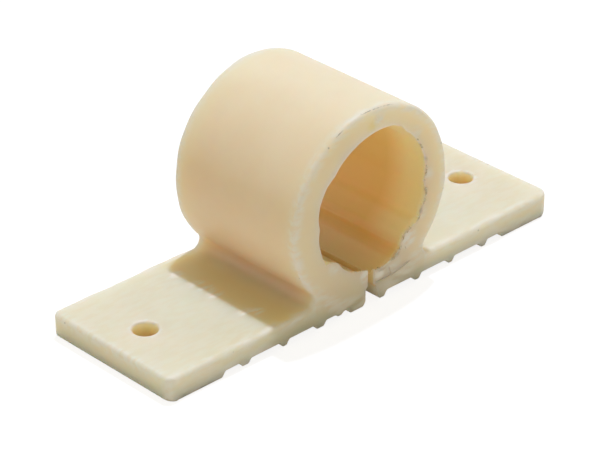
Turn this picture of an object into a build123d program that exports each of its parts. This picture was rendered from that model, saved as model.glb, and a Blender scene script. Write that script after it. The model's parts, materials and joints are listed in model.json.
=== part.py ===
from build123d import *
from math import floor, hypot, sqrt
import os

# Two-hole pipe clip, moulded in one piece. Millimetres, +Z up.
# The tube runs along Y, the flanges run along X, and z = 0 is the surface that the clip is screwed to.

# Tube, and the lengthwise ribs that hold it; the slit takes the place of the lowest rib
tube_diameter = 21.3
tube_clearance = 0.15
rib_places = 8
rib_width = 3.6
rib_tip_radius = 0.25
rib_flank = 0.15
rib_root_radius = 0.2

# Barrel, and its rounded root on the flanges
barrel_wall = 4.15
clip_width = 25.4
root_radius = 1.3

# Slit through the bottom of the barrel, with a wider foot, and the scoop in the bore's floor around it
slit_width = 1.2
slit_foot_width = 2.0
slit_foot_height = 2.1
lip_radius = 0.3
lip_land = 0.1
scoop_radius = 8.0
scoop_depth = 0.9

# Flanges and screw holes
flange_reach = 23.75
flange_thickness = 2.95
corner_radius = 1.3
hole_diameter = 4.0
hole_end_distance = 6.75

# Grip teeth and end pads on the underside
tooth_height = 0.85
tooth_foot_width = 2.1
tooth_flank_angle = 55
tooth_pitch = 7.3
tooth_tip_radius = 0.3
tooth_root_radius = 0.35
pad_length = 10.25

# Rounded edges of the top outline; those of the bore, the slit and the underside are sharp
top_edge_radius = 0.6

# Angle between ribs, and radii of the rib crests, the bore between the ribs and the barrel
rib_pitch = 360 / rib_places
rib_height = rib_tip_radius + rib_flank + rib_root_radius
crest_radius = tube_diameter / 2 + tube_clearance
bore_radius = crest_radius + rib_height
barrel_radius = bore_radius + barrel_wall

# Heights of the underside, the flange top, the slit's step, the tube axis and the scoop's centre
underside_z = tooth_height
flange_top_z = underside_z + flange_thickness
slit_step_z = underside_z + slit_foot_height
axis_z = underside_z + barrel_radius
scoop_z = axis_z - bore_radius - scoop_depth + scoop_radius

# Places along the flanges, and where the flange top meets the barrel
half_width = clip_width / 2
half_length = barrel_radius + flange_reach
hole_pitch = 2 * (half_length - hole_end_distance)
pad_start_x = half_length - pad_length
barrel_foot_x = sqrt(barrel_radius**2 - (axis_z - flange_top_z) ** 2)

# A row of teeth on each side, from the slit's lip to the last one that clears the pad
tooth_room = tooth_root_radius + tooth_foot_width / 2
first_tooth_x = slit_foot_width / 2 + lip_radius + lip_land + tooth_room - tooth_root_radius / 2
last_tooth_x = pad_start_x - tooth_root_radius - tooth_room
tooth_count = floor((last_tooth_x - first_tooth_x) / tooth_pitch) + 1
tooth_places = [side * (first_tooth_x + i * tooth_pitch) for side in (-1, 1) for i in range(tooth_count)]

tolerance = 1e-4


def corners_at(sketch, height):
    return sketch.vertices().filter_by(lambda v: abs(v.Y - height) < tolerance)


def nearest_two(vertices):
    return vertices.sort_by(lambda v: abs(v.X))[:2]


def corners_on_circle(sketch, radius):
    return sketch.vertices().filter_by(lambda v: abs(hypot(v.X, v.Y - axis_z) - radius) < tolerance)


with BuildPart() as pipe_clip:
    with BuildSketch(Plane.XZ) as section:
        # Barrel and both flanges as one outline
        with BuildLine():
            Polyline(
                (-barrel_foot_x, flange_top_z),
                (-half_length, flange_top_z),
                (-half_length, underside_z),
                (half_length, underside_z),
                (half_length, flange_top_z),
                (barrel_foot_x, flange_top_z),
            )
            ThreePointArc(
                (barrel_foot_x, flange_top_z),
                (0, axis_z + barrel_radius),
                (-barrel_foot_x, flange_top_z),
            )
        make_face()
        fillet(nearest_two(corners_at(section, flange_top_z)), root_radius)

        # Teeth and end pads
        with Locations(*[(x, underside_z / 2) for x in tooth_places]):
            Trapezoid(tooth_foot_width, tooth_height, tooth_flank_angle, rotation=180)
        with GridLocations(2 * half_length - pad_length, 0, 2, 1):
            with Locations((0, underside_z / 2)):
                Rectangle(pad_length, underside_z)
        tips = corners_at(section, 0).filter_by(lambda v: abs(v.X) < pad_start_x - tolerance)
        fillet(tips, tooth_tip_radius)
        fillet(corners_at(section, underside_z), tooth_root_radius)

        # Bore with its ribs: each is cut from a longer bar, so that all crests lie on one circle
        with Locations((0, axis_z)):
            Circle(bore_radius, mode=Mode.SUBTRACT)
            rib_middle = (crest_radius + bore_radius) / 2
            with PolarLocations(rib_middle, rib_places - 1, rib_pitch - 90, 360 - rib_pitch):
                Rectangle(3 * rib_height, rib_width)
            Circle(crest_radius, mode=Mode.SUBTRACT)
        fillet(corners_on_circle(section, bore_radius), rib_root_radius)
        fillet(corners_on_circle(section, crest_radius), rib_tip_radius)

        # Scoop, and the slit through it, wider below its step
        with Locations((0, scoop_z)):
            Circle(scoop_radius, mode=Mode.SUBTRACT)
        with Locations((0, axis_z / 2)):
            Rectangle(slit_width, axis_z, mode=Mode.SUBTRACT)
        with Locations((0, slit_step_z / 2)):
            Rectangle(slit_foot_width, slit_step_z, mode=Mode.SUBTRACT)
        fillet(nearest_two(corners_at(section, underside_z)), lip_radius)
    extrude(amount=half_width, both=True)

    # Screw holes
    with Locations((0, 0, flange_top_z)):
        with GridLocations(hole_pitch, 0, 2, 1):
            Hole(hole_diameter / 2)

    # Upright corners of the flanges
    upright = pipe_clip.edges().filter_by(Axis.Z)
    fillet(upright.filter_by(lambda e: abs(e.center().X) > half_length - tolerance), corner_radius)

    # Top outline of both end faces and of the flange tips, without the seams of the upright corners
    seam_x = half_length - corner_radius
    end_faces = pipe_clip.faces().sort_by(Axis.Y)
    end_edges = end_faces[0].edges() + end_faces[-1].edges()
    end_edges = end_edges.filter_by(lambda e: abs(e.center().X) < seam_x - tolerance)
    level_edges = pipe_clip.edges().filter_by(lambda e: e.bounding_box().size.Z < tolerance)
    tip_edges = level_edges.filter_by(lambda e: abs(e.center().X) > seam_x + tolerance)

    def is_top(edge):
        middle = edge @ 0.5
        on_outline = hypot(middle.X, middle.Z - axis_z) > barrel_radius - tolerance
        return middle.Z > flange_top_z - tolerance and on_outline

    fillet((end_edges + tip_edges).filter_by(is_top), top_edge_radius)

pipe_clip.part.label = "pipe_clip"
os.makedirs("parts", exist_ok=True)
export_step(pipe_clip.part, "parts/pipe_clip.step")
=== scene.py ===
import json
from math import asin, atan2, ceil, cos, degrees, hypot, pi, radians, sin, sqrt

import bmesh
import bpy
import numpy as np
from mathutils import Matrix, Vector
from mathutils.geometry import delaunay_2d_cdt


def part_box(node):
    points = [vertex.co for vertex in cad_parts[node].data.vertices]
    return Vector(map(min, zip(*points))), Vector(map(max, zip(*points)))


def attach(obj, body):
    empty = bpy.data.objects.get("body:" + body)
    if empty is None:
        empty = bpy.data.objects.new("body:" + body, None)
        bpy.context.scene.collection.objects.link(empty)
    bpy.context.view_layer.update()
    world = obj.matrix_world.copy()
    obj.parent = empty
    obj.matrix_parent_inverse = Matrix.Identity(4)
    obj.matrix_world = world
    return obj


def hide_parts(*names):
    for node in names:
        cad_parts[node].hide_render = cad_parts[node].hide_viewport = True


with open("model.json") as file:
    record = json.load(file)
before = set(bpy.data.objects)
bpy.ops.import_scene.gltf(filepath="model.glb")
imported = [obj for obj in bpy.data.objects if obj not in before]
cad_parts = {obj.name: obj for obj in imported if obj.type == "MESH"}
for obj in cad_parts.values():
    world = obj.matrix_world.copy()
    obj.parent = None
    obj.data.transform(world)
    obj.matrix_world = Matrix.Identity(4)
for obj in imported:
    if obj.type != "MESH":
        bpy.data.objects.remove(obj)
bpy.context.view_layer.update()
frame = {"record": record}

# The moulding: a split ring with inner ribs, on two flanges with grip teeth underneath.
# Injection-moulded polypropylene in one shot, so ring, flanges, ribs and teeth share one skin.
# The skin is the clip's section swept along the tube's axis, with its two end faces filled in.
MM = 0.001
mounts = {mount["name"]: mount for mount in frame["record"]["mounts"]}
tube = mounts["tube"]
screw_holes = mounts["screw_holes"]
cad_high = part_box("pipe_clip")[1]
half_length = cad_high.x / MM
half_width = cad_high.y / MM
axis_z = tube["pos_m"][2] / MM
crest_radius = tube["dims"]["r_mm"]
barrel_radius = cad_high.z / MM - axis_z
flange_top = screw_holes["pos_m"][2] / MM
hole_radius = screw_holes["dims"]["hole_r_mm"]
hole_x = screw_holes["dims"]["spacing_x_mm"] / 2
underside = axis_z - barrel_radius

# Spacing of the section's points, in millimetres like all the sizes of the section
section_step = 0.5
fine_step = 0.15
least_step = 0.1


def line(start, end, step):
    """Points from start towards end, without end."""
    count = max(1, ceil(hypot(end[0] - start[0], end[1] - start[1]) / step))
    return [tuple(a + (b - a) * i / count for a, b in zip(start, end)) for i in range(count)]


def arc(centre, radius, start, end, step):
    """Points on a circle from one angle towards another, in degrees, without the last one."""
    count = max(3, ceil(abs(radians(end - start)) * radius / step))
    turns = [radians(start + (end - start) * i / count) for i in range(count)]
    return [(centre[0] + radius * cos(t), centre[1] + radius * sin(t)) for t in turns]


def smooth(share):
    """Eases from 0 to 1, and stays there."""
    share = min(1, max(0, share))
    return share * share * (3 - 2 * share)


# Underside: the tool wore unevenly, so each tooth has its own place, width and height
right_teeth = ((2.4, 2.3, 0.85), (9.8, 2.2, 0.8), (17.0, 2.1, 0.8), (24.2, 2.2, 0.85))
left_teeth = ((2.8, 4.0, 0.85), (6.3, 2.0, 0.4), (10.2, 2.7, 0.75), (17.3, 2.1, 0.8), (24.9, 2.5, 0.7))
tooth_flank = 0.8
right_pad_length = 11.2
left_pad_length = 10.25
right_pad = half_length - right_pad_length
left_pad = half_length - left_pad_length
pad_flank = 0.9
pad_foot_radius = 0.6


def foot_depth(x, teeth, pad_start):
    """How far the underside stands down at x: sloping teeth, and the pad at the flange's end."""
    depth = smooth((x - pad_start) / pad_flank + 0.5) * underside
    for centre, width, height in teeth:
        depth = max(depth, height * smooth((width / 2 - abs(x - centre)) / tooth_flank))
    return depth


# Outside of one half, from the slit's lip along the underside to the top of the ring
top_edge_radius = 0.65
root_radius = 1.3
tip_top = flange_top - top_edge_radius
tip_foot_x = half_length - pad_foot_radius
root_z = flange_top + root_radius
root_x = sqrt((barrel_radius + root_radius) ** 2 - (axis_z - flange_top - root_radius) ** 2)
root_angle = degrees(atan2(axis_z - root_z, -root_x))
top = arc((half_length - top_edge_radius, tip_top), top_edge_radius, 0, 90, fine_step)
top += line((half_length - top_edge_radius, flange_top), (root_x, flange_top), section_step)
top += arc((root_x, root_z), root_radius, 270, root_angle, fine_step)
top += arc((0, axis_z), barrel_radius, root_angle - 180, 90, section_step)
tip = arc((tip_foot_x, pad_foot_radius), pad_foot_radius, 270, 360, fine_step)
tip += line((half_length, pad_foot_radius), (half_length, tip_top), section_step)
underside_step = 0.8
points_per_tooth = 15
pad_flank_step = 0.14
pad_flank_steps = 4


def half_outside(teeth, pad_start, lip_x):
    """Underside with these teeth, then the flange's tip."""
    places = set(np.arange(lip_x, tip_foot_x, underside_step))
    places |= {pad_start + i * pad_flank_step for i in range(-pad_flank_steps, pad_flank_steps + 1)}
    for centre, width, _ in teeth:
        across = np.linspace(centre - width / 2, centre + width / 2, points_per_tooth)
        places |= {x for x in across if x > lip_x}
    spaced = []
    for x in sorted(places):
        if not spaced or x - spaced[-1] > least_step:
            spaced.append(x)
    return [(x, underside - foot_depth(x, teeth, pad_start)) for x in spaced] + tip


# Slit through the ring's foot, wider below its step; the right lip stands further back
slit_half = 0.6
slit_foot_half = 1.0
slit_foot_height = 2.1
slit_step = underside + slit_foot_height
slit_step_slope = 0.3
right_lip = 1.7
left_lip = 1.0
right_side = half_outside(right_teeth, right_pad, right_lip)
left_side = half_outside(left_teeth, left_pad, left_lip)

# Bore: ribs as high as the tool filled them, none at the slit, where the floor is scooped out.
# The core sat a little off the ring's centre, and a groove runs along the bore at its lower right.
core_drift_x = 0.3
core_drift_z = 0.4
bore_z = axis_z + core_drift_z
rib_room = 0.6
valley_radius = crest_radius + rib_room
rib_heights = (0.2, 0.2, 0.15, 0.4, 0.4, 0.6, 0.0, 0.55)
rib_top_half_angle = 4.5
rib_foot_half_angle = 13.0
scoop_depth = 1.1
scoop_half_angle = 36.0
groove_angle = 297.5
groove_upper_angle = 3.2
groove_lower_angle = 7.0
groove_depth = 0.4
groove_fullness = 1.3


def bore_radius_at(angle):
    """Smooth ribs, evenly spaced from angle 0, the scoop round the slit, and the groove."""
    pitch = 360 / len(rib_heights)
    rib = round(angle / pitch) % len(rib_heights)
    off = abs((angle + pitch / 2) % pitch - pitch / 2)
    rise = smooth((rib_foot_half_angle - off) / (rib_foot_half_angle - rib_top_half_angle))
    dip = cos(radians(90 * min(1, abs((angle - 90) % 360 - 180) / scoop_half_angle)))
    from_groove = angle % 360 - groove_angle
    groove_reach = groove_upper_angle if from_groove > 0 else groove_lower_angle
    groove = groove_depth * smooth(groove_fullness - abs(from_groove) / groove_reach)
    return valley_radius - rib_heights[rib] * rise + scoop_depth * dip * dip + groove


# At the front a thin web of flash stands in from the bore's wall; its free edge as angle and radius.
# On the right it is tattered by two waves, each given by its rate and its start.
web_depth = 0.9
web_full_depth = 0.3 * web_depth
web_edge = (
    (5, 10.8), (17, 11.0), (32, 11.05), (47, 11.2), (55, 11.2), (61, 11.6), (70, 11.7), (82, 11.4),
    (98, 11.05), (114, 10.8), (130, 10.65), (138, 10.5), (148, 11.0), (162, 11.2), (174, 11.05),
    (182, 10.7), (191, 11.1), (203, 11.3), (211, 11.5), (215.5, 11.6), (218, 11.0), (221, 10.5),
    (227, 10.2), (236, 10.6), (247, 10.85), (260, 10.9), (267, 11.1), (272, 11.5), (277, 11.75),
    (285, 11.8), (293, 11.7), (300, 11.3), (308, 10.35), (315, 10.4), (323, 11.35), (333, 11.25),
    (347, 11.1), (353, 10.75), (357, 10.4),
)
web_angles, web_radii = zip(*web_edge)
tatter_depth = 0.07
tatter_middle = -40
tatter_steepness = 3
tatter_waves = ((1.7, 0), (2.9, 1))


def web_radius_at(angle):
    """Radius of the web's free edge, before it is tattered."""
    return np.interp(angle % 360, web_angles, web_radii, period=360)


bore_step_angle = 1.2
mouth_radius = bore_radius_at(270)
mouth = [degrees(asin((x - core_drift_x) / mouth_radius)) for x in (-slit_half, slit_half)]
bore_turn = 360 - (mouth[1] - mouth[0])
bore_count = ceil(bore_turn / bore_step_angle)
bore = []
bore_web = []
for i in range(bore_count + 1):
    angle = 270 + mouth[0] - bore_turn * i / bore_count
    radius = bore_radius_at(angle)
    ripple = sum(sin(rate * angle + start) for rate, start in tatter_waves)
    tatter = tatter_depth * ripple * smooth(cos(radians(angle - tatter_middle)) * tatter_steepness)
    reach = radius - web_radius_at(angle) + tatter
    bore.append((core_drift_x + radius * cos(radians(angle)), bore_z + radius * sin(radians(angle))))
    bore_web.append((-reach * cos(radians(angle)), -reach * sin(radians(angle))))

# At the slit's walls the web only rises, so the slit keeps its width
bore_web[0] = (0, bore_web[0][1])
bore_web[-1] = (0, bore_web[-1][1])


def slit_wall(side, lip, top_z):
    """One wall of the slit, from its lip to the bore, with the step between foot and neck."""
    places = line((side * lip[0], lip[1]), (slit_foot_half, slit_step - slit_step_slope), fine_step)
    places += line((slit_foot_half, slit_step - slit_step_slope), (slit_half, slit_step), fine_step)
    places += line((slit_half, slit_step), (slit_half, top_z), section_step)
    return [(side * x, z) for x, z in places[1:]]


left_half = [(-x, z) for x, z in reversed(left_side + top)]
left_wall = slit_wall(-1, left_half[-1], bore[0][1])
right_wall = slit_wall(1, right_side[0], bore[-1][1])
outline = right_side + top + [(0, axis_z + barrel_radius)] + left_half
bore_start = len(outline) + len(left_wall)
outline += left_wall + bore + list(reversed(right_wall))
points = np.array(outline)

# Each point's direction into the plastic, and how round the edge at the end faces is there.
# The top outline's edge is a little uneven, by waves given by height and length, and the tip's upright
# end has no round.
along = np.roll(points, -1, axis=0) - np.roll(points, 1, axis=0)
along /= np.linalg.norm(along, axis=1)[:, None]
inward = np.stack([-along[:, 1], along[:, 0]], axis=1)
travel = np.cumsum(np.linalg.norm(np.diff(points, axis=0, prepend=points[:1]), axis=1))
tolerance = 1e-6
sharp_edge_radius = 0.12
tip_edge_radius = 0.9 * top_edge_radius
edge_waves = ((0.12, 2.3), (0.07, 0.9))
edge_radius = np.full(len(points), sharp_edge_radius)
top_range = slice(len(right_side), len(right_side) + 2 * len(top) + 1)
edge_radius[top_range] = top_edge_radius
for height, length in edge_waves:
    edge_radius[top_range] += height * np.sin(travel[top_range] / length)
at_tip = np.abs(points[:, 0]) > half_length - top_edge_radius - tolerance
edge_radius[at_tip] = np.minimum(edge_radius[at_tip], tip_edge_radius)
on_tip_end = (np.abs(points[:, 0]) > tip_foot_x + tolerance) & (points[:, 1] < tip_top + tolerance)
edge_radius[on_tip_end] = 0
web = np.zeros_like(points)
web[bore_start:bore_start + len(bore)] = bore_web


def add(tree, kind, settings=None, inputs=None):
    """Adds a node, sets its properties, and sets or links its inputs by name or number."""
    made = tree.nodes.new(kind)
    for name, value in (settings or {}).items():
        setattr(made, name, value)
    for name, value in (inputs or {}).items():
        if isinstance(value, bpy.types.Node):
            value = value.outputs[0]
        if isinstance(value, bpy.types.NodeSocket):
            tree.links.new(value, made.inputs[name])
        else:
            made.inputs[name].default_value = value
    return made


def linear(hex_colour):
    """An sRGB hex colour as linear red, green, blue and alpha."""
    parts = [int(hex_colour[i:i + 2], 16) / 255 for i in (1, 3, 5)]
    return [c / 12.92 if c <= 0.04045 else ((c + 0.055) / 1.055) ** 2.4 for c in parts] + [1]


# Moulded polypropylene, natural cream: light goes in about a centimetre deep and comes out amber,
# so the ring glows inside and shaded hollows stay warm, while worn edges and flash look whiter.
# Painted shade and painted light are added on top: tints in the bore, the slit, the screw holes and beside
# the ring, and a painted sheen on edges and flange tops.
light_reach = 11.5 * MM
cloud_size = 9 * MM
scuff_size = 0.9 * MM
scuff_stretch = (0.35, 1, 1)
grit_size = 0.7 * MM
grain_size = 0.5 * MM
grain_depth = 0.03 * MM
speck_spacing = 7 * MM
fleck_spacing = 2 * MM
edge_sheen_share = 0.75
edge_sheen_band = 0.05
dark_cover = 4
plastic = bpy.data.materials.new("moulded_polypropylene")
plastic.use_nodes = True
coat = plastic.node_tree
coat.nodes.clear()
place = add(coat, "ShaderNodeTexCoord").outputs["Object"]
cloud = add(coat, "ShaderNodeTexNoise", None, {"Vector": place, "Scale": 1 / cloud_size, "Detail": 3})
body = add(coat, "ShaderNodeValToRGB", None, {"Fac": cloud})
body.color_ramp.elements[0].position = 0.3
body.color_ramp.elements[0].color = linear("#EFD5B3")
body.color_ramp.elements[1].position = 0.7
body.color_ramp.elements[1].color = linear("#F3DBBB")
# Shares on the skin: painted shade and painted light, an amber stain, wear with a painted sheen, and dark
# lines
amber_shade_share = add(coat, "ShaderNodeAttribute", {"attribute_name": "amber"}).outputs["Fac"]
rosy_shade_share = add(coat, "ShaderNodeAttribute", {"attribute_name": "rosy"}).outputs["Fac"]
honey_light_share = add(coat, "ShaderNodeAttribute", {"attribute_name": "honey"}).outputs["Fac"]
wear_and_sheen_place = add(coat, "ShaderNodeAttribute", {"attribute_name": "pale"}).outputs["Fac"]
dark_line_place = add(coat, "ShaderNodeAttribute", {"attribute_name": "dirt"}).outputs["Fac"]

# Whitened wear and painted sheen, broken up by scuffs that are longer along the flanges
lengthwise = add(coat, "ShaderNodeVectorMath", {"operation": "MULTIPLY"}, {0: place, 1: scuff_stretch})
ragged = add(coat, "ShaderNodeTexNoise", None, {"Vector": lengthwise, "Scale": 1 / scuff_size, "Detail": 4})
broken = add(coat, "ShaderNodeMapRange", None, {"Value": ragged, "From Min": 0.38, "From Max": 0.58})
wear_and_sheen_share = add(coat, "ShaderNodeMath", {"operation": "MULTIPLY", "use_clamp": True},
                 {0: wear_and_sheen_place, 1: broken})

# Dark brown in the cracks and along a line on the front rim, a few dark specks all over, and dark flecks
# along the pale edges
dark_line_core = add(coat, "ShaderNodeMapRange", None, {"Value": dark_line_place, "From Min": 0.4, "From Max": 0.9})
gritty = add(coat, "ShaderNodeTexNoise", None, {"Vector": place, "Scale": 1 / grit_size, "Detail": 2})
grit = add(coat, "ShaderNodeMapRange", None, {"Value": gritty, "From Min": 0.4, "From Max": 0.6})
dark_line = add(coat, "ShaderNodeMath", {"operation": "MULTIPLY"}, {0: dark_line_core, 1: grit})
dots = add(coat, "ShaderNodeTexVoronoi", None, {"Vector": place, "Scale": 1 / speck_spacing})
speck = add(coat, "ShaderNodeMapRange", None,
            {"Value": dots, "From Min": 0.03, "From Max": 0.015, "To Max": 0.5})
on_pale_edge = add(coat, "ShaderNodeMath", {"operation": "COMPARE"},
           {0: wear_and_sheen_place, 1: edge_sheen_share, 2: edge_sheen_band})
crumbs = add(coat, "ShaderNodeTexVoronoi", None, {"Vector": place, "Scale": 1 / fleck_spacing})
crumb_spot = add(coat, "ShaderNodeMapRange", None,
                 {"Value": crumbs, "From Min": 0.09, "From Max": 0.05, "To Max": 0.4})
fleck = add(coat, "ShaderNodeMath", {"operation": "MULTIPLY"}, {0: on_pale_edge, 1: crumb_spot})
marks = add(coat, "ShaderNodeMath", {"operation": "MAXIMUM"}, {0: speck, 1: fleck})
dark_mark_share = add(coat, "ShaderNodeMath", {"operation": "MAXIMUM"}, {0: dark_line, 1: marks})

# The tints one over another: rosy and honey are painted shade and painted light, amber is painted shade
# and a stain; wear with its painted sheen and the dark marks are opaque, and the rest lets light in
tinted = body
tints = (
    (rosy_shade_share, "#FFD09C"),
    (amber_shade_share, "#E2C86A"),
    (honey_light_share, "#FFE0B5"),
    (wear_and_sheen_share, "#F2E6D2"),
    (dark_mark_share, "#4A3316"),
)
for share, colour in tints:
    paint = add(coat, "ShaderNodeMix", {"data_type": "RGBA"}, {"Factor": share, 6: tinted, 7: linear(colour)})
    tinted = paint.outputs[2]

# A satin skin with a slight grain, which is drawn coarser than a real one so that it shows
grain = add(coat, "ShaderNodeTexNoise", None, {"Vector": place, "Scale": 1 / grain_size, "Detail": 2})
bump = add(coat, "ShaderNodeBump", None, {"Height": grain, "Strength": 0.15, "Distance": grain_depth})
covered = add(coat, "ShaderNodeMath", {"operation": "MULTIPLY", "use_clamp": True},
              {0: dark_mark_share, 1: dark_cover})
opaque = add(coat, "ShaderNodeMath", {"operation": "MAXIMUM"}, {0: wear_and_sheen_share, 1: covered})
clear = add(coat, "ShaderNodeMath", {"operation": "SUBTRACT"}, {0: 1, 1: opaque})
satin = add(coat, "ShaderNodeBsdfPrincipled", {"subsurface_method": "RANDOM_WALK"}, {
    "Base Color": tinted,
    "Roughness": 0.48,
    "IOR": 1.49,
    "Subsurface Weight": clear,
    "Subsurface Radius": (1.0, 0.65, 0.46),
    "Subsurface Scale": light_reach,
    "Normal": bump,
})
add(coat, "ShaderNodeOutputMaterial", None, {"Surface": satin})

# The section as a ring of points
section = bpy.data.meshes.new("clip_section")
ring_edges = [(i, (i + 1) % len(points)) for i in range(len(points))]
section.from_pydata([(x * MM, 0, z * MM) for x, z in points], ring_edges, [])
for name, flat in (("inward", inward), ("web", web * MM)):
    values = np.stack([flat[:, 0], 0 * flat[:, 0], flat[:, 1]], axis=1)
    section.attributes.new(name, "FLOAT_VECTOR", "POINT").data.foreach_set("vector", values.ravel())
section.attributes.new("edge_radius", "FLOAT", "POINT").data.foreach_set("value", edge_radius * MM)
skin = bpy.data.objects.new("pipe_clip_skin", section)
bpy.context.scene.collection.objects.link(skin)


def start_tree(name, source, inputs, result):
    """A Geometry Nodes tree with a geometry in, named inputs for its sizes, and a geometry out."""
    tree = bpy.data.node_groups.new(name, "GeometryNodeTree")
    tree.interface.new_socket(source, in_out="INPUT", socket_type="NodeSocketGeometry")
    for label, (kind, _) in inputs.items():
        tree.interface.new_socket(label, in_out="INPUT", socket_type=kind)
    tree.interface.new_socket(result, in_out="OUTPUT", socket_type="NodeSocketGeometry")
    return tree


def plain_mesh(piece):
    """Turns a piece with its modifiers into one plain mesh."""
    depsgraph = bpy.context.evaluated_depsgraph_get()
    mesh = bpy.data.meshes.new_from_object(piece.evaluated_get(depsgraph))
    piece.modifiers.clear()
    piece.data = mesh
    return mesh


def run_tree(piece, tree, inputs):
    """Runs a tree on a piece, with these inputs, and keeps the result as a plain mesh."""
    start = piece.data
    growing = piece.modifiers.new(tree.name, "NODES")
    growing.node_group = tree
    for item in tree.interface.items_tree:
        if item.name in inputs:
            growing[item.identifier] = inputs[item.name][1]
    mesh = plain_mesh(piece)
    bpy.data.meshes.remove(start)
    return mesh


# Sweep: a grid of stations along the tube by points round the section, closer near the end faces
sweep_inputs = {
    "Half width": ("NodeSocketFloat", half_width * MM),
    "Half length": ("NodeSocketFloat", half_length * MM),
    "Left corner radius": ("NodeSocketFloat", 1.3 * MM),
    "Right corner radius": ("NodeSocketFloat", 2.2 * MM),
    "Web depth": ("NodeSocketFloat", web_depth * MM),
    "Stations": ("NodeSocketInt", 57),
    "Points": ("NodeSocketInt", len(points)),
}
sweep = start_tree("section_sweep", "Section", sweep_inputs, "Skin")
swept_in = add(sweep, "NodeGroupInput").outputs
columns = add(sweep, "ShaderNodeMath", {"operation": "ADD"}, {0: swept_in["Points"], 1: 1})
grid = add(sweep, "GeometryNodeMeshGrid", None, {"Vertices X": swept_in["Stations"], "Vertices Y": columns})
index = add(sweep, "GeometryNodeInputIndex")
lap = add(sweep, "ShaderNodeMath", {"operation": "MODULO"}, {0: index, 1: columns})
column = add(sweep, "ShaderNodeMath", {"operation": "MODULO"}, {0: lap, 1: swept_in["Points"]})
row = add(sweep, "ShaderNodeMath", {"operation": "DIVIDE"}, {0: index, 1: columns})
station = add(sweep, "ShaderNodeMath", {"operation": "FLOOR"}, {0: row})
last = add(sweep, "ShaderNodeMath", {"operation": "SUBTRACT"}, {0: swept_in["Stations"], 1: 1})
turn = add(sweep, "ShaderNodeMapRange", None, {"Value": station, "From Max": last, "To Min": pi, "To Max": 0})
swing = add(sweep, "ShaderNodeMath", {"operation": "COSINE"}, {0: turn})
depth_y = add(sweep, "ShaderNodeMath", {"operation": "MULTIPLY"}, {0: swing, 1: swept_in["Half width"]})
off_middle = add(sweep, "ShaderNodeMath", {"operation": "ABSOLUTE"}, {0: depth_y})
to_end = add(sweep, "ShaderNodeMath", {"operation": "SUBTRACT"}, {0: swept_in["Half width"], 1: off_middle})

# The section's values at this column
section_values = {
    "inward": "FLOAT_VECTOR",
    "web": "FLOAT_VECTOR",
    "edge_radius": "FLOAT",
    "position": "FLOAT_VECTOR",
}
found = {}
for name, kind in section_values.items():
    field = add(sweep, "GeometryNodeInputNamedAttribute", {"data_type": kind}, {"Name": name})
    found[name] = add(sweep, "GeometryNodeSampleIndex", {"data_type": kind, "domain": "POINT"},
                      {"Geometry": swept_in["Section"], "Value": field, "Index": column})

# The flange tip's corner at this column, on the left or the right
middle_band = 1 * MM
section_x = add(sweep, "ShaderNodeSeparateXYZ", None, {0: found["position"]}).outputs["X"]
corner_radius = add(sweep, "ShaderNodeMapRange", None, {
    "Value": section_x,
    "From Min": -middle_band,
    "From Max": middle_band,
    "To Min": swept_in["Left corner radius"],
    "To Max": swept_in["Right corner radius"],
}).outputs["Result"]

# How far a rounded edge draws in at this distance from the end face
drawn = {}
for name, radius in (("edge", found["edge_radius"].outputs[0]), ("corner", corner_radius)):
    share = add(sweep, "ShaderNodeMapRange", None, {"Value": to_end, "From Min": radius, "From Max": 0})
    lean = add(sweep, "ShaderNodeMath", {"operation": "ARCSINE"}, {0: share})
    level = add(sweep, "ShaderNodeMath", {"operation": "COSINE"}, {0: lean})
    lost = add(sweep, "ShaderNodeMath", {"operation": "SUBTRACT"}, {0: 1, 1: level})
    drawn[name] = add(sweep, "ShaderNodeMath", {"operation": "MULTIPLY"}, {0: lost, 1: radius})

# The web stands in at the front only
behind = add(sweep, "ShaderNodeMath", {"operation": "ADD"}, {0: depth_y, 1: swept_in["Half width"]})
web_share = add(sweep, "ShaderNodeMapRange", {"interpolation_type": "SMOOTHSTEP"},
                {"Value": behind, "From Min": swept_in["Web depth"], "From Max": web_full_depth * MM})
webbed = add(sweep, "ShaderNodeVectorMath", {"operation": "SCALE"}, {0: found["web"], "Scale": web_share})
edged = add(sweep, "ShaderNodeVectorMath", {"operation": "SCALE"},
            {0: found["inward"], "Scale": drawn["edge"]})
shift = add(sweep, "ShaderNodeVectorMath", {"operation": "ADD"}, {0: webbed, 1: edged})
formed = add(sweep, "ShaderNodeVectorMath", {"operation": "ADD"}, {0: found["position"], 1: shift})
formed_at = add(sweep, "ShaderNodeSeparateXYZ", None, {0: formed}).outputs

# The flange tips draw in at their upright corners, over the last three corner radii
corner_reach = 3
seam_gap = 0.001 * MM
tip_zone = add(sweep, "ShaderNodeMath", {"operation": "MULTIPLY"}, {0: corner_radius, 1: corner_reach})
tip_start = add(sweep, "ShaderNodeMath", {"operation": "SUBTRACT"}, {0: swept_in["Half length"], 1: tip_zone})
out_along = add(sweep, "ShaderNodeMath", {"operation": "ABSOLUTE"}, {0: formed_at["X"]})
tip_share = add(sweep, "ShaderNodeMapRange", None,
                {"Value": out_along, "From Min": tip_start, "From Max": swept_in["Half length"]})
tip_square = add(sweep, "ShaderNodeMath", {"operation": "MULTIPLY"}, {0: tip_share, 1: tip_share})
tip_draw = add(sweep, "ShaderNodeMath", {"operation": "MULTIPLY"}, {0: tip_square, 1: drawn["corner"]})
side = add(sweep, "ShaderNodeMath", {"operation": "SIGN"}, {0: formed_at["X"]})
tip_shift = add(sweep, "ShaderNodeMath", {"operation": "MULTIPLY"}, {0: tip_draw, 1: side})
tip_x = add(sweep, "ShaderNodeMath", {"operation": "SUBTRACT"}, {0: formed_at["X"], 1: tip_shift})
put = add(sweep, "ShaderNodeCombineXYZ", None, {"X": tip_x, "Y": depth_y, "Z": formed_at["Z"]})
moved = add(sweep, "GeometryNodeSetPosition", None, {"Geometry": grid, "Position": put})
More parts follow.
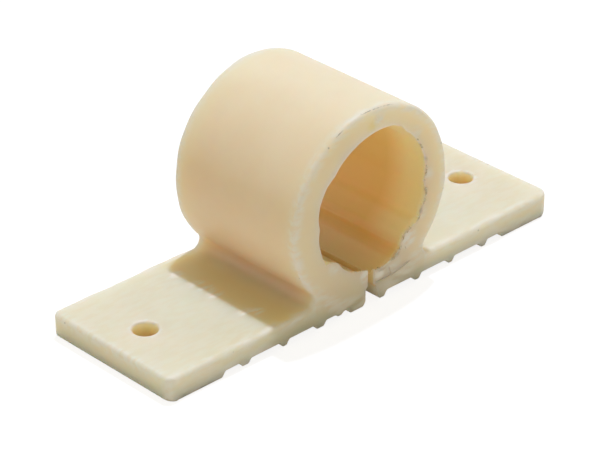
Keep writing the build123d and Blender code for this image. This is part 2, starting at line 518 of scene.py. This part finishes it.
welded = add(sweep, "GeometryNodeMergeByDistance", None, {"Geometry": moved, "Distance": seam_gap})
joined = add(sweep, "GeometryNodeRealizeInstances", None, {"Geometry": welded})
coated = add(sweep, "GeometryNodeSetMaterial", None, {"Geometry": joined, "Material": plastic})
add(sweep, "NodeGroupOutput", None, {"Skin": coated})
swept = run_tree(skin, sweep, sweep_inputs)

# Marks on the front face, where the tool's insert and its flash left fine open cracks
crack_half_width = 0.07
crack_depth = 0.5
crack_step = 0.18
crack_run_out = 0.5
crack_end_share = 0.15
cracks = (
    ((0.75, 3.1), (2.5, 3.05), (4.5, 3.12), (6.3, 3.45), (8.2, 3.95)),
    ((1.5, 4.72), (2.2, 4.68), (2.9, 4.72)),
    ((3.75, 4.75), (3.9, 4.2), (4.15, 3.35)),
    ((5.1, 5.5), (5.6, 5.85), (6.1, 6.35)),
    ((7.0, 6.9), (7.3, 6.3)),
    ((10.25, 10.9), (10.5, 11.35), (10.65, 11.9)),
    ((11.45, 14.0), (11.5, 14.6), (11.45, 15.1)),
    ((11.1, 20.3), (11.3, 19.4)),
    ((9.75, 22.95), (10.0, 22.35)),
)

# The gate's scar on the front face: a low rough nub, given by its middle and half size
scar = (1.05, 29.75)
scar_half = (0.85, 0.75)
scar_height = 0.11
scar_roughness = 0.06
scar_ripples = (7, 9)
scar_columns = 11
scar_rows = 10
scar_flatness = 4


def crack_rows(route):
    """Points along a crack: its two lips and the bottom between them, which runs out at both ends."""
    route = np.array(route)
    reach = np.concatenate([[0], np.cumsum(np.hypot(*np.diff(route, axis=0).T))])
    steps = np.linspace(0, reach[-1], ceil(reach[-1] / crack_step) + 1)
    bottom = np.stack([np.interp(steps, reach, route[:, 0]), np.interp(steps, reach, route[:, 1])], axis=1)
    ahead = np.gradient(bottom, axis=0)
    across = np.stack([-ahead[:, 1], ahead[:, 0]], axis=1) / np.hypot(*ahead.T)[:, None]
    taper = np.clip(np.minimum(steps, reach[-1] - steps) / crack_run_out, crack_end_share, 1)[:, None]
    lip = across * crack_half_width * taper
    return bottom - lip, bottom, bottom + lip, crack_depth * taper[:, 0]


def inside_outline(spots, loop):
    """Which of these places lie inside a closed outline."""
    hits = np.zeros(len(spots), bool)
    for (x0, z0), (x1, z1) in zip(loop, np.roll(loop, -1, axis=0)):
        if z0 != z1:
            crosses = (spots[:, 1] < z0) != (spots[:, 1] < z1)
            hits ^= crosses & (spots[:, 0] < x0 + (spots[:, 1] - z0) * (x1 - x0) / (z1 - z0))
    return hits


# End faces: filled with even triangles, the front one with its cracks and its scar
face_step = 0.4
face_gap = 0.6 * face_step
fill_inside = 1
fill_tolerance = 1e-5
crack_bottoms = []
shell = bmesh.new()
shell.from_mesh(swept)
loose_edges = {edge for edge in shell.edges if edge.is_boundary}
for end in (-1, 1):
    rim_edges = {edge for edge in loose_edges if edge.verts[0].co.y * end > 0}
    first_vert = next(iter(rim_edges)).verts[0]
    rim = [first_vert]
    previous = None
    while True:
        edge = next(e for e in rim[-1].link_edges if e in rim_edges and e is not previous)
        previous = edge
        following = edge.other_vert(rim[-1])
        if following is first_vert:
            break
        rim.append(following)
    rim_flat = np.array([(v.co.x, v.co.z) for v in rim]) / MM
    spots = [rim_flat]
    depths = [np.zeros(len(rim))]
    links = []
    if end < 0:
        for route in cracks:
            lower_lip, bottom, upper_lip, bottom_depth = crack_rows(route)
            for lane, lane_depth in ((lower_lip, 0 * bottom_depth), (bottom, bottom_depth),
                                     (upper_lip, 0 * bottom_depth)):
                first = sum(len(s) for s in spots)
                links += [(first + i, first + i + 1) for i in range(len(lane) - 1)]
                spots.append(lane)
                depths.append(lane_depth)
            crack_bottoms.append(bottom)
        u, v = np.meshgrid(np.linspace(-1, 1, scar_columns), np.linspace(-1, 1, scar_rows))
        nub = np.stack([scar[0] + scar_half[0] * u.ravel(), scar[1] + scar_half[1] * v.ravel()], axis=1)
        fall = 1 - np.maximum(np.abs(u), np.abs(v)).ravel() ** scar_flatness
        rough = scar_roughness * np.prod(np.sin(nub * scar_ripples), axis=1)
        spots.append(nub)
        depths.append(-fall * (scar_height + rough))
    taken = np.concatenate(spots)
    across = np.arange(-half_length, half_length, face_step)
    upward = np.arange(0, axis_z + barrel_radius, face_step * sqrt(3) / 2)
    even = np.array([(x + (j % 2) * face_step / 2, z) for j, z in enumerate(upward) for x in across])
    even = even[inside_outline(even, rim_flat)]
    gaps = np.array([np.min(np.hypot(*(taken - p).T)) for p in even])
    spots.append(even[gaps > face_gap])
    depths.append(np.zeros(len(spots[-1])))
    flat = [Vector(p) for p in np.concatenate(spots)]
    sunk = np.concatenate(depths)
    filled = delaunay_2d_cdt(flat, links, [list(range(len(rim)))], fill_inside, fill_tolerance)
    filled_spots, _, triangles, origins, _, _ = filled
    verts = []
    for spot, sources in zip(filled_spots, origins):
        if sources and sources[0] < len(rim):
            verts.append(rim[sources[0]])
        else:
            dent = sunk[sources[0]] if sources else 0
            verts.append(shell.verts.new((spot.x * MM, (half_width - dent) * end * MM, spot.y * MM)))
    for triangle in triangles:
        shell.faces.new([verts[i] for i in triangle])
bmesh.ops.delete(shell, geom=[v for v in shell.verts if not v.link_faces], context="VERTS")
bmesh.ops.recalc_face_normals(shell, faces=shell.faces)
shell.to_mesh(swept)
shell.free()

# Screw holes: one straight hole through each flange, its rim eased by the core pin and its wall shrunk
# onto it. The pin's profile as radius and height, from below the flange to above it
rim_radius = 0.35
rim_step = 0.1
hole_shrink = 0.1
pin_radius = hole_radius - hole_shrink
pin_overrun = 1.0
pin_sides = 64
wall_depths = (2.0, 1.0)
weld_distance = 0.002 * MM
sharp_angle = radians(40)
rim_arc = arc((0, flange_top - rim_radius), rim_radius, 0, 90, rim_step)
pin_profile = [(pin_radius, -pin_overrun)]
pin_profile += [(pin_radius, flange_top - depth) for depth in wall_depths]
pin_profile += [(pin_radius + rim_radius - r, z) for r, z in rim_arc]
pin_profile += [(pin_radius + rim_radius, flange_top), (pin_radius + rim_radius, flange_top + pin_overrun)]
pins = bmesh.new()
turns = [2 * pi * (i + 0.5) / pin_sides for i in range(pin_sides)]
for centre_x in (-hole_x, hole_x):
    rings = []
    for radius, height in pin_profile:
        places = [((centre_x + radius * cos(t)) * MM, radius * sin(t) * MM, height * MM) for t in turns]
        rings.append([pins.verts.new(p) for p in places])
    for lower, upper in zip(rings, rings[1:]):
        for i in range(pin_sides):
            j = (i + 1) % pin_sides
            pins.faces.new((lower[i], lower[j], upper[j], upper[i]))
    pins.faces.new(list(reversed(rings[0])))
    pins.faces.new(rings[-1])
bmesh.ops.recalc_face_normals(pins, faces=pins.faces)
pin_mesh = bpy.data.meshes.new("core_pins")
pins.to_mesh(pin_mesh)
pins.free()
pin_object = bpy.data.objects.new("core_pins", pin_mesh)
bpy.context.scene.collection.objects.link(pin_object)
cutting = skin.modifiers.new("holes", "BOOLEAN")
cutting.operation = "DIFFERENCE"
cutting.solver = "EXACT"
cutting.object = pin_object
clip_mesh = plain_mesh(skin)
bpy.data.objects.remove(pin_object)
bored = bmesh.new()
bored.from_mesh(clip_mesh)
bmesh.ops.remove_doubles(bored, verts=bored.verts, dist=weld_distance)
bmesh.ops.triangulate(bored, faces=[face for face in bored.faces if len(face.verts) > 4])
bmesh.ops.dissolve_degenerate(bored, edges=bored.edges, dist=weld_distance)
bored.to_mesh(clip_mesh)
bored.free()
clip_mesh.materials.clear()
clip_mesh.materials.append(plastic)
clip_mesh.shade_smooth()
clip_mesh.set_sharp_from_angle(angle=sharp_angle)


def fade(distance, full, gone):
    """1 up to the distance full, falling to 0 at the distance gone."""
    return np.clip((gone - distance) / (gone - full), 0, 1)


# Where each vertex lies, in millimetres
skin_depth = 0.1
level_tolerance = 0.05
wall_tolerance = 0.02
slit_ceiling = 6
bore_wall_reach = 2.5
coords = np.empty(3 * len(clip_mesh.vertices))
clip_mesh.vertices.foreach_get("co", coords)
x, y, z = coords.reshape(-1, 3).T / MM
span = np.abs(x)
from_end = half_width - np.abs(y)
from_front = y + half_width
from_tip = half_length - span
from_core = np.hypot(x - core_drift_x, z - bore_z)
from_barrel = np.abs(np.hypot(x, z - axis_z) - barrel_radius)
below_top = flange_top - z
off_hole = np.hypot(span - hole_x, y)
on_front = fade(np.abs(from_front), 0, 0.5)
on_top = (np.abs(below_top) < level_tolerance) & (span > root_x - skin_depth)
in_hole = (off_hole < hole_radius + wall_tolerance) & (z < flange_top - level_tolerance)
in_slit = (span < slit_foot_half + skin_depth) & (z < slit_ceiling) & (from_end > skin_depth)
in_bore = (from_core < valley_radius + bore_wall_reach) & (from_end > skin_depth)

# Painted shade and painted light inside the bore: amber shade deep inside and in its groove, less of it on
# the right wall where painted light falls, painted honey light near its ends, and rosy painted shade on its
# floor and in the slit
mouth_amber_shade = 0.2
deep_amber_shade = 0.9
right_wall_light = 0.3
bore_angle = np.degrees(np.arctan2(z - bore_z, x - core_drift_x)) % 360
off_groove = np.abs(bore_angle - groove_angle) / groove_lower_angle
beside_groove = 1 - fade(off_groove, 0.2, 1.2)
deep = 1 - fade(from_end, 2, 7)
near_end = fade(from_end, 4, 8.5)
on_floor = fade(z, 6.6, 8.2)
on_right = 1 - fade(x, 1, 9)
amber = in_bore * (mouth_amber_shade + (deep_amber_shade - mouth_amber_shade) * deep)
amber *= (1 - on_floor * beside_groove) * (1 - right_wall_light * on_right)
rosy = in_bore * on_floor
honey = in_bore * near_end * (1 - on_floor)
amber[in_slit] = 0
rosy[in_slit] = 1

# Painted light in the screw holes, a rosy glow down the wall and honey light at the mouth; a painted shadow
# tint on the left flange beside the ring, where the ring's shadow falls; and an amber stain by the scar
hole_mouth_light = 0.9
shadow_tint_x = -16.2
shadow_tint_amber = 0.15
shadow_tint_rosy = 0.6
stain_x = -0.3
stain_z = 29.2
stain_amber = 0.35
down_hole = in_hole * (1 - fade(below_top, 0, 1.5))
hole_mouth = in_hole * fade(below_top, 0.33, 1.43)
in_ring_shadow = on_top * fade(np.abs(x - shadow_tint_x), 1.3, 3.9)
stain = (from_front < skin_depth) * fade(np.hypot(x - stain_x, z - stain_z), 0.32, 1.12)
rosy = np.maximum.reduce([rosy, down_hole, shadow_tint_rosy * in_ring_shadow])
honey = np.maximum(honey, hole_mouth_light * hole_mouth)
amber = np.maximum.reduce([amber, shadow_tint_amber * in_ring_shadow, stain_amber * stain])

# Pale paint: wear with a painted sheen on the edges of the top outline and the tips, painted sheen on the
# outer flange tops, painted light on the flange sides, and painted highlights on the rims of the holes
top_sheen_share = 0.25
side_light_share = 0.4
rim_highlight_share = 1.0
rim_highlight_reach = 0.3
side_depth = 0.2
far_off = 99
from_flange = np.where(span > root_x - root_radius, np.abs(below_top), far_off)
from_top_edge = np.hypot(from_end, np.minimum(from_barrel, from_flange))
from_tip_edge = np.minimum(np.hypot(from_end, from_tip), np.hypot(from_tip, from_flange))
at_edge = fade(np.minimum(from_top_edge, from_tip_edge), 0.6, 1.8)
outer_top = on_top * (1 - fade(span, 18, 21))
outer_side = (from_end < side_depth) * (z < flange_top) * (1 - fade(span, 16, 20))
at_hole_rim = (off_hole < hole_radius + rim_highlight_reach) & (z > flange_top - rim_radius)
pale = np.maximum(edge_sheen_share * at_edge, top_sheen_share * outer_top)
pale[at_hole_rim] = rim_highlight_share
pale = np.maximum(pale, side_light_share * outer_side)

# Scuffs on the left flange, beside the ring
scuff_half = (1.4, 0.8)
scuff_strength = 1.9
scuffs = ((-19.7, 8.3), (-19.2, 4.1), (-18.8, 2.2), (-19.1, 0.1), (-19.2, -6.7), (-18.2, -7.4))
for scuff_x, scuff_y in scuffs:
    off_scuff = np.hypot((x - scuff_x) / scuff_half[0], (y - scuff_y) / scuff_half[1])
    pale = np.maximum(pale, scuff_strength * fade(off_scuff, 0.3, 1.3) * on_top)

# Whitened patches of the front face, round its flash, its cracks and its scar: place, radius, strength
pale_spots = (
    (7.6, 8.0, 1.4, 2.0),
    (1.5, 4.1, 1.0, 2.0),
    (-1.2, 5.0, 0.9, 2.0),
    (4.6, 4.6, 1.4, 0.7),
    (-7.4, 9.0, 1.2, 0.8),
    (1.1, 29.75, 1.0, 1.1),
    (11.7, 17.0, 1.0, 0.7),
    (10.6, 11.0, 0.9, 0.6),
    (9.0, 25.0, 1.2, 0.5),
)
for spot_x, spot_z, spot_radius, strength in pale_spots:
    off_spot = np.hypot(x - spot_x, z - spot_z) / spot_radius
    pale = np.maximum(pale, strength * fade(off_spot, 0.4, 1.4) * on_front)

# Dark brown along a thin line at the top of the front rim, between these angles, and in the cracks
crease_turns = ((73, 99), (111, 118))
crease_depth = 0.18
crease_half_width = 0.03
crease_dark = 0.8
crack_dark = 1
crack_dark_radius = 0.04
rim_band = 1
dirt = np.zeros(len(x))
ring_angle = np.degrees(np.arctan2(z - axis_z, x))
on_crease = (np.abs(from_front - crease_depth) < crease_half_width) & (from_barrel < rim_band)
for first_angle, last_angle in crease_turns:
    dirt[on_crease & (ring_angle > first_angle) & (ring_angle < last_angle)] = crease_dark
below_front = (from_front > skin_depth) & (from_front < rim_band)
for bottom in crack_bottoms:
    for spot_x, spot_z in bottom:
        dirt[(np.hypot(x - spot_x, z - spot_z) < crack_dark_radius) & below_front] = crack_dark
shares = {"amber": amber, "rosy": rosy, "honey": honey, "pale": pale, "dirt": dirt}
for name, values in shares.items():
    clip_mesh.attributes.new(name, "FLOAT", "POINT").data.foreach_set("value", values.astype(np.float32))
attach(skin, "root")
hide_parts("pipe_clip")

# Flash: ragged slivers along the right of the bore's front rim.
# The same polypropylene, squeezed out where the core meets the front of the tool.
# Small lumps are strung along the web's free edge, sized and left out at random.
flash_turns = range(-82, 40, 2)
flash_sink = 0.15
flash_inset = 0.03
flash_y = (flash_inset - half_width) * MM
flash_places = []
for angle in flash_turns:
    radius = web_radius_at(angle) + flash_sink
    flash_x = core_drift_x + radius * cos(radians(angle))
    flash_z = bore_z + radius * sin(radians(angle))
    flash_places.append((flash_x * MM, flash_y, flash_z * MM))
flash_path = bpy.data.meshes.new("flash_path")
flash_path.from_pydata(flash_places, [(i, i + 1) for i in range(len(flash_places) - 1)], [])
flash = bpy.data.objects.new("rim_flash", flash_path)
bpy.context.scene.collection.objects.link(flash)

# Torn polypropylene: stretched until it whitened, so it is opaque, chalky and dull.
chalk_size = 0.4 * MM
torn_plastic = bpy.data.materials.new("torn_polypropylene")
torn_plastic.use_nodes = True
torn_coat = torn_plastic.node_tree
torn_coat.nodes.clear()
torn_place = add(torn_coat, "ShaderNodeTexCoord").outputs["Object"]
chalk = add(torn_coat, "ShaderNodeTexNoise", None,
            {"Vector": torn_place, "Scale": 1 / chalk_size, "Detail": 2})
shade = add(torn_coat, "ShaderNodeValToRGB", None, {"Fac": chalk})
shade.color_ramp.elements[0].position = 0.35
shade.color_ramp.elements[0].color = linear("#C6A873")
shade.color_ramp.elements[1].position = 0.65
shade.color_ramp.elements[1].color = linear("#F1E6CF")
dull = add(torn_coat, "ShaderNodeBsdfPrincipled", None, {"Base Color": shade, "Roughness": 0.7, "IOR": 1.49})
add(torn_coat, "ShaderNodeOutputMaterial", None, {"Surface": dull})

# The string of lumps, each stretched and torn in its own way
smallest_lump = (0.6, 0.6, 0.4)
largest_lump = (1.5, 1.5, 1.5)
noise_middle = (0.5, 0.5, 0.5)
tear_size = 0.25 * MM
string_inputs = {
    "Count": ("NodeSocketInt", 44),
    "Kept": ("NodeSocketFloat", 0.45),
    "Size": ("NodeSocketVector", (0.13 * MM, 0.13 * MM, 0.4 * MM)),
    "Seed": ("NodeSocketInt", 7),
}
string = start_tree("strung_slivers", "Path", string_inputs, "Slivers")
strung_in = add(string, "NodeGroupInput").outputs
curve = add(string, "GeometryNodeMeshToCurve", None, {"Mesh": strung_in["Path"]})
knots = add(string, "GeometryNodeCurveToPoints", {"mode": "COUNT"},
            {"Curve": curve, "Count": strung_in["Count"]})
lump = add(string, "GeometryNodeMeshIcoSphere", None, {"Radius": 1.0, "Subdivisions": 3})
spread = add(string, "FunctionNodeRandomValue", {"data_type": "FLOAT_VECTOR"},
             {0: smallest_lump, 1: largest_lump, "Seed": strung_in["Seed"]})
size = add(string, "ShaderNodeVectorMath", {"operation": "MULTIPLY"}, {0: spread, 1: strung_in["Size"]})
kept = add(string, "FunctionNodeRandomValue", {"data_type": "BOOLEAN"},
           {"Probability": strung_in["Kept"], "Seed": strung_in["Seed"]})
strung = add(string, "GeometryNodeInstanceOnPoints", None, {
    "Points": knots,
    "Selection": kept.outputs[3],
    "Instance": lump,
    "Rotation": knots.outputs["Rotation"],
    "Scale": size,
})
loosened = add(string, "GeometryNodeRealizeInstances", None, {"Geometry": strung})
tear = add(string, "ShaderNodeTexNoise", {"noise_dimensions": "3D"}, {"Scale": 1 / tear_size})
tug = add(string, "ShaderNodeVectorMath", {"operation": "SUBTRACT"},
          {0: tear.outputs["Color"], 1: noise_middle})
pull = add(string, "ShaderNodeVectorMath", {"operation": "SCALE"}, {0: tug, "Scale": tear_size})
torn = add(string, "GeometryNodeSetPosition", None, {"Geometry": loosened, "Offset": pull})
chalky = add(string, "GeometryNodeSetMaterial", None, {"Geometry": torn, "Material": torn_plastic})
add(string, "NodeGroupOutput", None, {"Slivers": chalky})
flash_mesh = run_tree(flash, string, string_inputs)
flash_mesh.shade_smooth()
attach(flash, "root")

# The table: a wide flat board under the clip, which is only its stage.
# Painted white and matt, so it shows white to the camera and keeps the clip's soft shadow.
# It lies a hair below the clip's feet, so that the two faces don't flicker.
table_half = 1.5
table_top = -0.05 * MM
table_mesh = bpy.data.meshes.new("table")
corners = [(i * table_half, j * table_half, table_top) for i, j in ((-1, -1), (1, -1), (1, 1), (-1, 1))]
table_mesh.from_pydata(corners, [], [(0, 1, 2, 3)])
table = bpy.data.objects.new("table", table_mesh)
bpy.context.scene.collection.objects.link(table)


def shown_to_eye(tree):
    """1 for rays that show what they meet: from the camera, off a gloss or through a clear piece."""
    rays = add(tree, "ShaderNodeLightPath").outputs
    bounced = add(tree, "ShaderNodeMath", {"operation": "MAXIMUM"},
                  {0: rays["Is Glossy Ray"], 1: rays["Is Transmission Ray"]})
    return add(tree, "ShaderNodeMath", {"operation": "MAXIMUM"}, {0: rays["Is Camera Ray"], 1: bounced})


# Matt white paint: it throws light back evenly, and to the camera it is lifted to white.
board = bpy.data.materials.new("matt_white_paint")
board.use_nodes = True
paint_tree = board.node_tree
paint_tree.nodes.clear()
matt = add(paint_tree, "ShaderNodeBsdfDiffuse", None, {"Color": linear("#F2F1EE")})
glow = add(paint_tree, "ShaderNodeEmission", None, {"Color": linear("#FFFFFF"), "Strength": 0.85})
dim = add(paint_tree, "ShaderNodeBsdfDiffuse", None, {"Color": linear("#8C8C8C")})
lifted = add(paint_tree, "ShaderNodeAddShader", None, {0: glow, 1: dim})
painted = add(paint_tree, "ShaderNodeMixShader", None, {0: shown_to_eye(paint_tree), 1: matt, 2: lifted})
add(paint_tree, "ShaderNodeOutputMaterial", None, {"Surface": painted})
table_mesh.materials.append(board)

# The light: a lamp high on the right, and a white room round the clip.
# The lamp is cool and small, so it throws the ring's shadow on the left flange with a soft edge.
# The room is a little warm and fills the shade.
lamp_towards = Vector((0.25, 0.15, 0.94))
lamp = bpy.data.objects.new("key", bpy.data.lights.new("key", "SUN"))
lamp.data.energy = 2.47
lamp.data.color = linear("#D9E5FF")[:3]
lamp.data.angle = radians(2.5)
lamp.rotation_euler = lamp_towards.to_track_quat("Z", "Y").to_euler()
bpy.context.scene.collection.objects.link(lamp)
world = bpy.data.worlds.new("room")
bpy.context.scene.world = world
world.use_nodes = True
room = world.node_tree
room.nodes.clear()
room_light = add(room, "ShaderNodeBackground", None, {"Color": linear("#FFF9DB"), "Strength": 0.42})
room_seen = add(room, "ShaderNodeBackground", None, {"Color": linear("#FFFFFF"), "Strength": 1.0})
room_mix = add(room, "ShaderNodeMixShader", None, {0: shown_to_eye(room), 1: room_light, 2: room_seen})
add(room, "ShaderNodeOutputWorld", None, {"Surface": room_mix})

# The camera: a long lens, looking down on the clip from its left front corner.
# It stands over forty centimetres off, so the far flange looks only a little smaller than the near one.
# Angles, distance and aim were fitted to the clip's outline in a picture 600 pixels wide.
image_width = 600
focal_pixels = 2779.7
sensor_width = 36
view_azimuth = radians(-43.919)
view_elevation = radians(29.493)
view_roll = radians(0.137)
view_distance = 415.13 * MM
aim_right = -1.544 * MM
aim_up = 6.910 * MM
level_share = cos(view_elevation)
back = Vector((sin(view_azimuth) * level_share, -cos(view_azimuth) * level_share, sin(view_elevation)))
sideways = Vector((0, 0, 1)).cross(back).normalized()
upright = back.cross(sideways)
right = sideways * cos(view_roll) + upright * sin(view_roll)
up = upright * cos(view_roll) - sideways * sin(view_roll)
stand = right * aim_right + up * aim_up + back * view_distance
camera = bpy.data.objects.new("camera", bpy.data.cameras.new("camera"))
camera.data.sensor_width = sensor_width
camera.data.lens = focal_pixels / image_width * sensor_width
camera.data.clip_start = 0.01
camera.matrix_world = Matrix.Translation(stand) @ Matrix((right, up, back)).transposed().to_4x4()
bpy.context.scene.collection.objects.link(camera)
bpy.context.scene.camera = camera
bpy.context.scene.view_settings.view_transform = "Standard"
